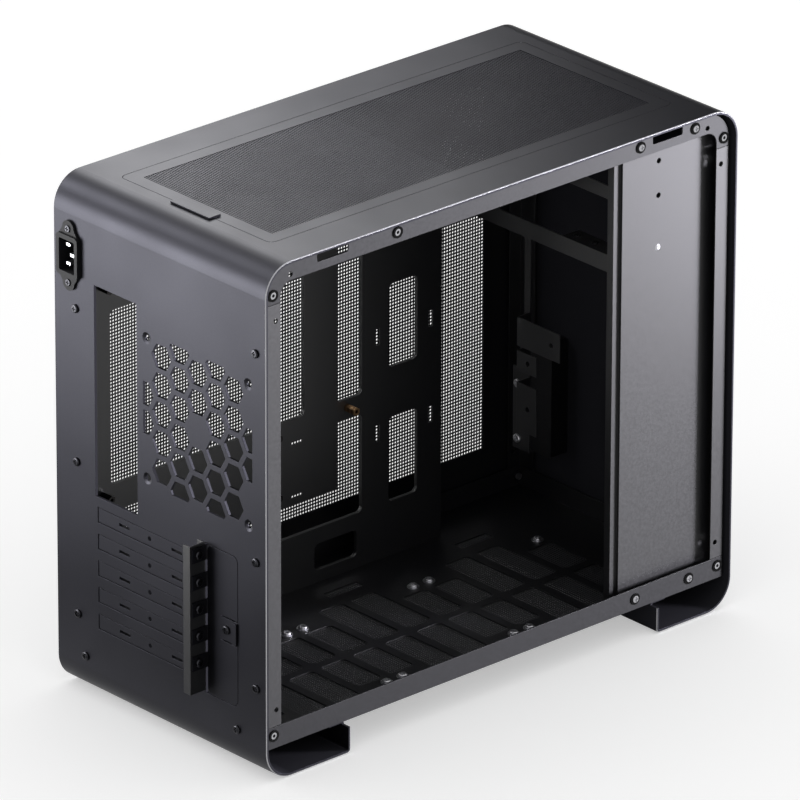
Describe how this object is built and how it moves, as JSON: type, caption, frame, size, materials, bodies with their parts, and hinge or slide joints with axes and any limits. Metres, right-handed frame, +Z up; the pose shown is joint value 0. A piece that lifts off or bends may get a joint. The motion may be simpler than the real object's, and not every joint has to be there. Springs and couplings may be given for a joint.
{
  "type": "computer case",
  "caption": "Compact tower computer case: folded aluminium shell on curled feet, open left side, steel frame, honeycomb fan grille, slot covers and a lift-off roof dust filter.",
  "frame": {"origin": "under the middle of the whole box, on the surface the foot pads stand on", "axes": "+Z up, +Y towards the rear wall, +X towards the closed right side panel"},
  "size_m": [0.22, 0.454, 0.3865],
  "materials": {
    "anodised_aluminium": "fine bead-blasted anodised satin",
    "dark_steel": "satin powder coat",
    "black_mesh": "fine woven mesh",
    "black_plastic": "moulded satin",
    "black_screw": "black zinc",
    "bright_steel": "nickel plated",
    "brass": "turned brass",
    "rubber": "matt rubber"
  },
  "bodies": {
    "case": {"outer_shell": "anodised_aluminium", "foot_pads": "rubber", "top_frame": "dark_steel", "bottom_frame": "dark_steel", "rear_left_upright": "dark_steel", "rear_right_upright": "dark_steel", "front_left_upright": "dark_steel", "front_right_upright": "dark_steel", "motherboard_tray": "dark_steel", "standoffs": "brass", "snap_rings": "black_plastic", "snap_cups": "bright_steel", "frame_washers": "black_plastic", "frame_screws": "bright_steel", "rear_screws": "black_screw", "floor_washers": "bright_steel", "floor_screws": "bright_steel", "bottom_filter_mesh": "black_mesh", "power_inlet": "black_plastic", "inlet_pins": "bright_steel", "inlet_screws": "black_screw", "slot_ledge": "dark_steel", "slot_screws": "black_screw", "slot_access_cover": "dark_steel", "access_cover_screw": "black_screw", "cover_strap": "dark_steel", "front_cover": "dark_steel", "cover_rivet": "bright_steel", "psu_bar_lower": "dark_steel", "psu_bar_upper": "dark_steel", "psu_hanger": "dark_steel", "psu_bar_screws": "black_screw", "psu_bracket": "dark_steel", "psu_bracket_screws": "bright_steel", "front_io_module": "black_plastic", "button_switch": "black_plastic", "usb_a_port": "bright_steel", "usb_c_port": "bright_steel", "audio_jack": "black_plastic", "slot_cover_1": "dark_steel", "slot_cover_2": "dark_steel", "slot_cover_3": "dark_steel", "slot_cover_4": "dark_steel", "slot_cover_5": "dark_steel"},
    "side_panel": {"right_side_panel": "dark_steel", "panel_studs": "bright_steel"},
    "top_filter": {"top_filter_frame": "anodised_aluminium", "top_filter_mesh": "black_mesh"},
    "power_button": {"power_button": "anodised_aluminium"}
  },
  "joints": [
    {"name": "side_panel_pull", "type": "slide", "parent": "case", "child": "side_panel", "axis": [1, 0, 0], "range_m": [0, 0.06]},
    {"name": "top_filter_lift", "type": "slide", "parent": "case", "child": "top_filter", "axis": [0, 0, 1], "range_m": [0, 0.05]},
    {"name": "power_button_press", "type": "slide", "parent": "case", "child": "power_button", "axis": [0, 1, 0], "range_m": [0, 0.0012], "stiffness_N_per_m": 600, "springref_m": -0.001}
  ]
}
